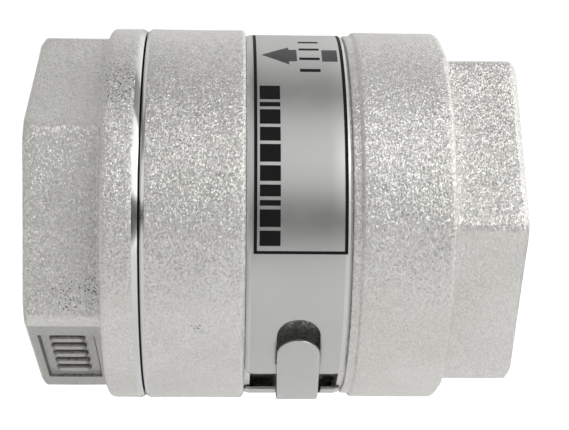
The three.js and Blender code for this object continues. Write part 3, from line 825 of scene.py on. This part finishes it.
def arrow_piece(material):
    """A plain arrow that points toward the outlet, with a divided shaft."""
    tip, neck, tail = 55.4, 49.55, 47.81
    far_tail, far_start = 42.39, 39.05
    middle, half_head, half_shaft = 29.5, 5.5, 3.7

    def head(share):
        return neck + (tip - neck) * np.maximum(share, 0.02)

    return join("nameplate_arrow", [
        ink_patch(neck, head, middle - half_head, middle, material, 0.5),
        ink_patch(neck, lambda share: head(1 - share), middle, middle + half_head, material, 0.5),
        ink_patch(tail, neck, middle - half_shaft, middle + half_shaft, material),
        ink_patch(far_start, far_tail, middle - half_shaft, middle + half_shaft, material)])


def scale_ticks(material):
    """Four plain strokes across the arrow's shaft."""
    start, end, first, pitch, thick = 42.9, 47.3, 18.2, 6.4, 1.4
    return [ink_patch(start, end, first + pitch * index, first + thick + pitch * index, material, 0.5)
            for index in range(4)]


def label_blocks(material):
    """A column of plain blocks beside the arrow, generic in place of a name."""
    start, end, first, gap = 51.7, 56.0, 45.3, 1.05
    blocks = []
    for length in (5.4, 1.6, 5.0, 4.4, 5.4, 4.6, 3.4, 1.6, 5.0, 4.4):
        blocks.append(ink_patch(start, end, first, first + length, material))
        first += length + gap
    return blocks


def label_piece(material):
    """The label's printed frame, with the strokes and blocks in it."""
    low, high = LABEL_START - LINE / 2, LABEL_END + LINE / 2
    frame_lines = [ink_patch(low, low + LINE, LABEL_TOP, LABEL_BOTTOM, material, 2),
                   ink_patch(high - LINE, high, LABEL_TOP, LABEL_BOTTOM, material, 2)]
    for angle in (LABEL_TOP, LABEL_BOTTOM):
        frame_lines.append(ink_patch(low, high, angle, angle + 0.9, material, 0.3))
    return join("nameplate_print", frame_lines + scale_ticks(material) + label_blocks(material))


# ---- seat, guides and bearings ----

ARM_WIDTH = 5.0
HUB_OUTER, HUB_BORE = 8.5, 6.2
STEM_RADIUS = 4.0


def spider_arms(near, far, start, end, material):
    """Three radial arms with rounded edges, the first at the top."""
    arms = []
    for index in range(3):
        made = bmesh.new()
        bmesh.ops.create_cube(made, size=1)
        for vertex in made.verts:
            along, side, up = vertex.co
            vertex.co = Vector((-(start + end) / 2 + along * (end - start), side * ARM_WIDTH,
                                (near + far) / 2 + up * (far - near))) * MM
        long_edges = [edge for edge in made.edges
                      if abs(edge.verts[0].co.z - edge.verts[1].co.z) > 0.5 * (far - near) * MM]
        bmesh.ops.bevel(made, geom=long_edges, offset=0.9 * MM, segments=3, profile=0.5, affect="EDGES")
        bmesh.ops.rotate(made, verts=made.verts, cent=(0, 0, 0),
                         matrix=Matrix.Rotation(radians(120 * index), 3, "X"))
        mesh = bpy.data.meshes.new("arm")
        made.to_mesh(mesh)
        made.free()
        mesh.polygons.foreach_set("use_smooth", [True] * len(mesh.polygons))
        mesh.materials.append(material)
        arms.append(keep_sharp(add_object("arm", mesh), 50))
    return arms


def ring_corners(start, end, inner, outer, edge=0.3):
    return [Corner(start, inner, edge, 2), Corner(start, outer, edge, 2),
            Corner(end, outer, edge, 2), Corner(end, inner, edge, 2)]


def lathed(node, count, material, *corners):
    """A turned look for one CAD node, with crisp edges."""
    return keep_sharp(turned(f"{node}_look", corners, circle(count), [material]), 30)


def seat_ring_piece(material):
    start, face = 31.2, 42.0
    bore, outer = 24.5, 32.8
    shell = turned("seat_shell", [
        Corner(start, bore, 0.8, 3), Corner(start, outer, 0.5, 3), Corner(face, outer, 0.3, 2),
        Corner(face, 29.5, 0.15, 2), Corner(face - 0.6, 29.4, 0.15, 2), Corner(face - 0.6, 27.1, 0.15, 2),
        Corner(face, 27.0, 0.15, 2), Corner(face, bore, 0.3, 2)], circle(160), [material])
    hub = turned("seat_hub", [
        Corner(27, HUB_BORE, 0.3, 2), Corner(27, HUB_OUTER, 0.8, 3), Corner(36.8, HUB_OUTER, 0.8, 3),
        Corner(36.8, HUB_BORE, 0.3, 2)], circle(72), [material])
    parts = [keep_sharp(shell, 30), keep_sharp(hub, 30)]
    parts += spider_arms(HUB_OUTER - 0.8, bore + 0.8, 31.6, 36.6, material)
    return join("seat_ring_look", parts)


def outlet_guide_piece(material):
    start, end = 66.6, 70.6
    cup_outer, cup_inner, floor, back = 19.0, 17.4, 75.0, 77.0
    rim = turned("guide_rim", ring_corners(start, end, 32.8, 37.3, 0.5), circle(160), [material])
    cup = turned("guide_cup", [
        Corner(start, cup_inner, 0.4, 2), Corner(start, cup_outer, 0.4, 2), Corner(back, cup_outer, 1.6, 4),
        Corner(back, HUB_BORE, 0.4, 2), Corner(66.35, HUB_BORE, 0.4, 2), Corner(66.35, HUB_OUTER, 0.8, 3),
        Corner(floor, HUB_OUTER, 0.8, 3), Corner(floor, cup_inner, 1.0, 3)], circle(120), [material])
    parts = [keep_sharp(rim, 30), keep_sharp(cup, 30)]
    parts += spider_arms(cup_outer - 0.8, 32.8 + 0.8, start + 0.1, end - 0.1, material)
    return join("outlet_guide_look", parts)


def plain_ring(node, inner, edge, count, material):
    """A ring as long and as large as its CAD node, with rounded edges."""
    corners = ring_corners(*stations(node), inner, reach(node), edge)
    return turned(f"{node}_look", corners, circle(count), [material])


def bush_piece(node, material):
    return keep_sharp(plain_ring(node, STEM_RADIUS + 0.12, 0.35, 64, material), 30)


def seat_circlip_piece(material):
    start, end = stations("seat_circlip")
    half = 13.0
    clip = turned_arc("clip", ring_corners(start, end, 30.6, 34.6, 0.2),
                      angle_list((180 + half, 540 - half, 2)), material)
    parts = [clip]
    for side in (-1, 1):
        angle = radians(180 + side * (half + 3))
        lug = keep_sharp(turned("lug", ring_corners(start, end, 1.0, 2.4, 0.2), circle(32), [material]), 30)
        lug.data.transform(Matrix.Translation(Vector((0, -sin(angle), cos(angle))) * 30.0 * MM))
        parts.append(lug)
    return join("seat_circlip_look", parts)


# ---- poppet ----


def valve_disc_piece(material):
    start, end = stations("valve_disc")
    bore, o_ring_seat, floor, rim = 4.15, 6.4, 44.1, 44.5
    return lathed(
        "valve_disc", 144, material,
        Corner(start, o_ring_seat, 0.2, 2), Corner(floor, o_ring_seat), Corner(floor, bore),
        Corner(end, bore, 0.3, 2), Corner(end, 18.5, 2.0, 3, cuts=2), Corner(end - 1.8, 27.2, 0.6, 3),
        Corner(rim, 27.5, 0.3, 2), Corner(rim, 21.7), Corner(start, 21.7, 0.2, 2, cuts=2))


def seal_retainer_piece(material):
    start, end = stations("seal_retainer")
    return lathed(
        "seal_retainer", 144, material,
        Corner(start, 4.15, 0.3, 2, cuts=2), Corner(start, 19.6, 1.2, 3), Corner(start + 1.2, 23.3, 0.4, 3),
        Corner(end, 23.6, 0.2, 2, cuts=2), Corner(end, 4.15, 0.2, 2))


def stem_piece(material):
    """The stem, with its collar, its threaded stretch and the groove of its clip."""
    start, end = stations("stem")
    collar, collar_start, collar_end = 7.0, 38, 39.5
    groove, groove_start, groove_end = 2.9, 77.45, 78.75
    thread_start, thread_end, pitch = 48.8, 62.0, 1.25
    corners = [
        Corner(start, 0.02), Corner(start, STEM_RADIUS - 0.7), Corner(start + 0.7, STEM_RADIUS),
        Corner(collar_start, STEM_RADIUS), Corner(collar_start, collar, 0.3, 2),
        Corner(collar_end, collar, 0.3, 2), Corner(collar_end, STEM_RADIUS),
        Corner(thread_start, STEM_RADIUS),
    ]
    for index in range(int((thread_end - thread_start) / pitch)):
        base = thread_start + 0.2 + index * pitch
        corners += [Corner(base, STEM_RADIUS), Corner(base + 0.5 * pitch, STEM_RADIUS - 0.55, 0.1, 1)]
    corners += [
        Corner(thread_end, STEM_RADIUS), Corner(groove_start, STEM_RADIUS), Corner(groove_start, groove),
        Corner(groove_end, groove), Corner(groove_end, STEM_RADIUS), Corner(end - 0.7, STEM_RADIUS),
        Corner(end, STEM_RADIUS - 0.7), Corner(end, 0.02),
    ]
    return keep_sharp(turned("stem_look", corners, circle(64), [material], loop=False), 25)


def stem_o_ring_piece(material):
    section, centre, station = 0.88, 5.25, 43.1
    angles = circle(12)
    corners = [Corner(station + section * cos(a), centre + section * sin(a)) for a in angles]
    return turned("stem_o_ring_look", corners, circle(64), [material])


def lock_washer_piece(material):
    start, end = stations("lock_washer")
    angles = angle_list((4, 356, 4))
    twist = np.linspace(0, 0.15, len(angles))
    return turned_arc("lock_washer_look", ring_corners(start + twist, end - 0.15 + twist, 4.2, 8.6, 0.15),
                      angles, material)


def stem_nut_piece(material):
    start, end = stations("stem_nut")
    angles = hexagon_angles(0, 5)
    corner = hexagon_radius(angles, 6.5, 0.3, 0)
    rim = np.minimum(corner - 0.15, 6.4)
    slope = (corner - rim) * tan(radians(30)) + 0.05
    corners = [
        Corner(start, 4.05), Corner(start, rim), Corner(start + slope, corner, cuts=2),
        Corner(end - slope, corner), Corner(end, rim), Corner(end, 4.7), Corner(end - 0.6, 4.05)]
    return keep_sharp(turned("stem_nut_look", corners, angles, [material]), 25)


def stem_clip_piece(material):
    start, end = stations("stem_clip")
    return turned_arc("stem_clip_look", ring_corners(start, end, 3.1, reach("stem_clip"), 0.15),
                      angle_list((215, 505, 5)), material)


# ---- spring ----


def spring_seat_piece(material):
    start, end = stations("spring_seat")
    bore, flange, collar, step = 9.4, 17.2, 12.4, 50.4
    return lathed(
        "spring_seat", 96, material,
        Corner(start, bore, 0.3, 2), Corner(start, flange, 0.3, 2), Corner(step, flange, 0.3, 2),
        Corner(step, collar, 0.4, 2), Corner(end, collar, 0.4, 3), Corner(end, bore, 0.3, 2))


def spring_piece(material):
    """A compression spring with one closed turn at each end, its ends ground flat."""
    first, last = stations("spring")
    mean, wire = 14.6, 1.8
    turns, closed = 6.5, 1.0
    pitch = wire * 1.03
    steps, sides = 40, 14
    turn = np.arange(int(turns * steps) + 1) / steps
    open_length = last - first - 2 * pitch * closed - wire
    middle = first + wire / 2 + pitch * np.minimum(turn, closed)
    middle = middle + open_length * np.clip((turn - closed) / (turns - 2 * closed), 0, 1)
    middle = middle + pitch * np.maximum(0, turn - turns + closed) - 0.12
    around = np.arange(sides) * 2 * pi / sides
    angles = 2 * pi * turn
    station = np.clip(middle + wire / 2 * np.cos(around)[:, None], first + 0.2, last - 0.2)
    points = place(station, mean + wire / 2 * np.sin(around)[:, None], angles)
    faces = tube_faces(sides, len(turn))
    return keep_sharp(make_object("spring_look", points, faces, [0] * len(faces), [material]), 50)


# ---- stage ----


def studio_world():
    """Soft boxes all round: bright in front and above, a dark gap level with the viewer, pale below.

    The camera itself sees plain white.
    """
    world = bpy.data.worlds.new("studio")
    world.use_nodes = True
    bpy.context.scene.world = world
    nodes = Nodes(world.node_tree)
    toward = nodes.node("ShaderNodeTexCoord").outputs["Generated"]
    parts = nodes.node("ShaderNodeSeparateXYZ", {0: toward}).outputs
    angle = nodes.math("ARCTAN2", nodes.math("MULTIPLY", parts["Y"], -1), parts["Z"])
    share = nodes.node("ShaderNodeMapRange", enumerate((angle, -pi, pi, 0, 1))).outputs["Result"]
    ramp = nodes.node("ShaderNodeValToRGB", {"Fac": share})
    # Angle from straight up toward the front, in degrees, and the brightness there.
    stops = ((-180, 0.8), (-95, 0.32), (-75, 0.38), (-60, 0.62), (-40, 0.85), (-14, 0.65), (-8, 0.26),
             (18, 0.22), (23, 0.84), (50, 0.78), (72, 0.84), (78, 0.07), (103, 0.07), (107, 0.88),
             (180, 0.8))
    peak = max(level for _, level in stops)
    elements = ramp.color_ramp.elements
    while len(elements) < len(stops):
        elements.new(0.5)
    for element, (turn, level) in zip(elements, stops):
        element.position = (turn + 180) / 360
        element.color = (level / peak, level / peak, 0.99 * level / peak, 1)
    # Brighter toward both ends of the valve, and more so toward its inlet: peak (1 + 0.75 x + x^2).
    curve = nodes.math("MULTIPLY_ADD", parts["X"], nodes.math("ADD", parts["X"], 0.75), 1.0)
    strength = nodes.math("MULTIPLY", curve, peak)
    sky = nodes.node("ShaderNodeBackground", {"Color": ramp.outputs["Color"], "Strength": strength})
    backdrop = nodes.tree.nodes["Background"]
    nodes.put(backdrop.inputs["Color"], (1, 1, 1))
    nodes.put(backdrop.inputs["Strength"], 1.02)
    seen = nodes.node("ShaderNodeLightPath").outputs["Is Camera Ray"]
    choose = nodes.node("ShaderNodeMixShader", {0: seen, 1: sky.outputs[0], 2: backdrop.outputs[0]})
    nodes.link(choose.outputs[0], nodes.tree.nodes["World Output"].inputs["Surface"])


def soft_box(name, turn, lean, size, energy):
    """An area light 0.6 m off, turned in degrees from straight up to the front, leaning to the inlet."""
    data = bpy.data.lights.new(name, "AREA")
    data.shape = "RECTANGLE"
    data.size, data.size_y = size
    data.energy = energy
    light = add_object(name, data)
    angle = radians(turn)
    middle = Vector((-LENGTH / 2 * MM, 0, 0))
    toward = Vector((lean, -sin(angle), cos(angle))).normalized()
    light.location = middle + toward * 0.6
    light.rotation_euler = toward.to_track_quat("Z", "Y").to_euler()


def floor():
    """A pale floor a little below the valve; its front glows faintly, painted light, and from just behind
    the valve it is dark grey, painted shade, while the camera sees it glow white. Its back meets the
    backdrop.
    """
    level = -0.08
    points = [(-2, -0.25, level), (2, -0.25, level), (2, 3, level), (-2, 3, level)]
    mesh = bpy.data.meshes.new("floor")
    mesh.from_pydata(points, [], [(0, 1, 2, 3)])
    shader = Shader("pale_floor_painted_glow_and_shade", (0.86, 0.86, 0.86), 0.0, 0.8)
    shader.put(shader.surface["Emission Color"], (1, 1, 1))
    seen = shader.node("ShaderNodeLightPath").outputs["Is Camera Ray"]
    # near is 1 in front of the valve and 0 behind it
    near = shader.spread(shader.along((0, 1, 0)), 0.06, 0.14, 1.0, 0.0)
    # the front of the floor glows faintly, painted light; the camera sees the whole floor glow white
    shader.link(shader.math("MULTIPLY_ADD", near, 0.165, seen), shader.surface["Emission Strength"])
    # painted shade: behind the valve the floor is dark grey
    color = shader.mix(near, (0.2, 0.2, 0.2), (0.86, 0.86, 0.86))
    mesh.materials.append(shader.finish(shader.bump(shader.noise(400, 2.0), 0.00002), color))
    add_object("floor", mesh)


def camera():
    """The camera stands level with the valve, a hair above it, and is rolled by half a degree."""
    distance = 0.3398
    turn, rise, roll = radians(-2.23), radians(3.6), radians(0.526)
    back = Vector((sin(turn) * cos(rise), -cos(turn) * cos(rise), sin(rise)))
    right = Vector((0, 0, 1)).cross(back).normalized()
    up = back.cross(right)
    rolled_right = right * cos(roll) + up * sin(roll)
    rolled_up = up * cos(roll) - right * sin(roll)
    data = bpy.data.cameras.new("camera")
    data.sensor_width = 36
    data.lens = 92.75
    data.clip_start, data.clip_end = 0.01, 20
    made = add_object("camera", data)
    aim = Vector((-49.35 * MM, 0, 0)) - rolled_up * 0.19 * MM
    frame_axes = Matrix((rolled_right, rolled_up, back)).transposed()
    made.matrix_world = Matrix.Translation(aim + back * distance) @ frame_axes.to_4x4()
    bpy.context.scene.camera = made


# ---- the valve ----


def stand_in(piece, body, slot, *nodes):
    """Makes a piece ride on a body in place of its CAD nodes."""
    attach(piece, body)
    if nodes:
        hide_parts(*nodes)
    return piece


def build_valve():
    cast = cast_steel("cast_stainless", 1.0)
    # a half-bright copy of the cast steel: painted shade for the groove floor and pocket under the strap
    shaded = cast_steel("cast_painted_shade", 0.5)
    turned_look = turned_steel("turned_stainless", (0.66, 0.66, 0.65), 0.24, 0.000012)
    machined = turned_steel("machined_edge", (0.7, 0.7, 0.69), 0.12, 0.000004)
    wire = turned_steel("spring_stainless", (0.7, 0.7, 0.69), 0.2, 0.000005)
    strap = strap_steel()
    # lighter steel for the strap's bent edges: a painted highlight
    strap_edge_painted_highlight = turned_steel("strap_edge_painted_highlight", (0.68, 0.68, 0.67), 0.45, 0.00001)
    print_black = plain_solid("print_black", (0.008, 0.008, 0.008), 0.6, 2500, 0.000004)
    print_black.node_tree.nodes["Principled BSDF"].inputs["Specular IOR Level"].default_value = 0.15
    print_grey = plain_solid("print_grey", (0.04, 0.042, 0.044), 0.45, 2500, 0.000004)
    bronze = plain_solid("bronze", (0.6, 0.4, 0.2), 0.35, 1800, 0.00001, 1.0)
    ptfe = plain_solid("ptfe", (0.88, 0.87, 0.84), 0.45, 1200, 0.00001)
    gasket = plain_solid("black_gasket", (0.012, 0.012, 0.012), 0.6, 1500, 0.00003)
    rubber = plain_solid("black_rubber", (0.02, 0.02, 0.02), 0.5, 1500, 0.00001)

    for body, piece, slot, *nodes in (
            ("housing", body_piece(cast, machined, shaded), "cast_stainless", "body"),
            ("housing", end_cap_piece(cast, machined), "cast_stainless", "end_cap"),
            ("housing", panel_marks(cast), "cast_stainless"),
            ("housing", body_gasket_piece(gasket), "black_gasket", "body_gasket"),
            ("housing", strap_piece(strap, strap_edge_painted_highlight), "strap_stainless", "nameplate_band"),
            ("housing", label_piece(print_black), "strap_stainless"),
            ("housing", arrow_piece(print_grey), "strap_stainless"),
            ("housing", plain_ring("seat_gasket", 26.5, 0.35, 128, ptfe), "ptfe", "seat_gasket"),
            ("housing", seat_ring_piece(turned_look), "turned_stainless", "seat_ring"),
            ("housing", seat_circlip_piece(wire), "spring_stainless", "seat_circlip"),
            ("housing", bush_piece("inlet_bush", bronze), "bronze", "inlet_bush"),
            ("housing", outlet_guide_piece(turned_look), "turned_stainless", "outlet_guide"),
            ("housing", bush_piece("outlet_bush", bronze), "bronze", "outlet_bush"),
            ("spring_carrier", spring_seat_piece(turned_look), "turned_stainless", "spring_seat"),
            ("poppet", valve_disc_piece(turned_look), "turned_stainless", "valve_disc"),
            ("poppet", plain_ring("disc_seal", 21.9, 0.4, 144, ptfe), "ptfe", "disc_seal"),
            ("poppet", seal_retainer_piece(turned_look), "turned_stainless", "seal_retainer"),
            ("poppet", stem_piece(turned_look), "turned_stainless", "stem"),
            ("poppet", stem_o_ring_piece(rubber), "black_rubber", "stem_o_ring"),
            ("poppet", lock_washer_piece(wire), "spring_stainless", "lock_washer"),
            ("poppet", stem_nut_piece(turned_look), "turned_stainless", "stem_nut"),
            ("poppet", stem_clip_piece(wire), "spring_stainless", "stem_clip")):
        stand_in(piece, body, slot, *nodes)

    spring = stand_in(spring_piece(wire), "housing", "spring_stainless", "spring")
    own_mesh(spring)


camera()
build_valve()
studio_world()
soft_box("key", 46, 0.75, (0.4, 0.12), 0.45)
soft_box("back", -62, 0.0, (0.8, 0.4), 0.2)
floor()
bpy.context.scene.view_settings.view_transform = "Standard"
